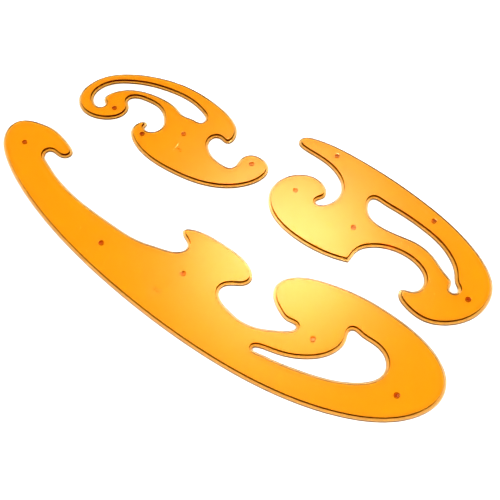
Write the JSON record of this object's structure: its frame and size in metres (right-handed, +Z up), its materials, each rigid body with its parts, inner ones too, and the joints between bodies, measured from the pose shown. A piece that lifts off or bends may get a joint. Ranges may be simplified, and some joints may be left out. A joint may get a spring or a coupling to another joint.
{
  "type": "french curve set",
  "caption": "Flat clear orange drawing templates with lowered rims, long curved slots and hooked ends, held off the paper on small round lift pips.",
  "frame": {"origin": "on the paper, under the middle of the box round all the curves as they lie", "axes": "+Z up from the paper, +X along the long side of the laid-out set, +Y away from the person drawing"},
  "size_m": [0.276, 0.2398, 0.0029],
  "materials": {
    "orange_acrylic": "clear fluorescent orange, polished faces",
    "pip_acrylic": "clear orange, slightly dull"
  },
  "bodies": {
    "large_curve": {"large_curve_plate": "orange_acrylic", "large_curve_pip_1": "pip_acrylic", "large_curve_pip_2": "pip_acrylic", "large_curve_pip_3": "pip_acrylic", "large_curve_pip_4": "pip_acrylic", "large_curve_pip_5": "pip_acrylic"},
    "medium_curve": {"medium_curve_plate": "orange_acrylic", "medium_curve_pip_1": "pip_acrylic", "medium_curve_pip_2": "pip_acrylic", "medium_curve_pip_3": "pip_acrylic", "medium_curve_pip_4": "pip_acrylic", "medium_curve_pip_5": "pip_acrylic"},
    "small_curve": {"small_curve_plate": "orange_acrylic", "small_curve_pip_1": "pip_acrylic", "small_curve_pip_2": "pip_acrylic", "small_curve_pip_3": "pip_acrylic", "small_curve_pip_4": "pip_acrylic"}
  },
  "joints": [
    {"name": "medium_curve_lift", "type": "slide", "parent": "large_curve", "child": "medium_curve", "axis": [0, 0, 1], "range_m": [0, 0.06]},
    {"name": "small_curve_lift", "type": "slide", "parent": "large_curve", "child": "small_curve", "axis": [0, 0, 1], "range_m": [0, 0.06]}
  ]
}
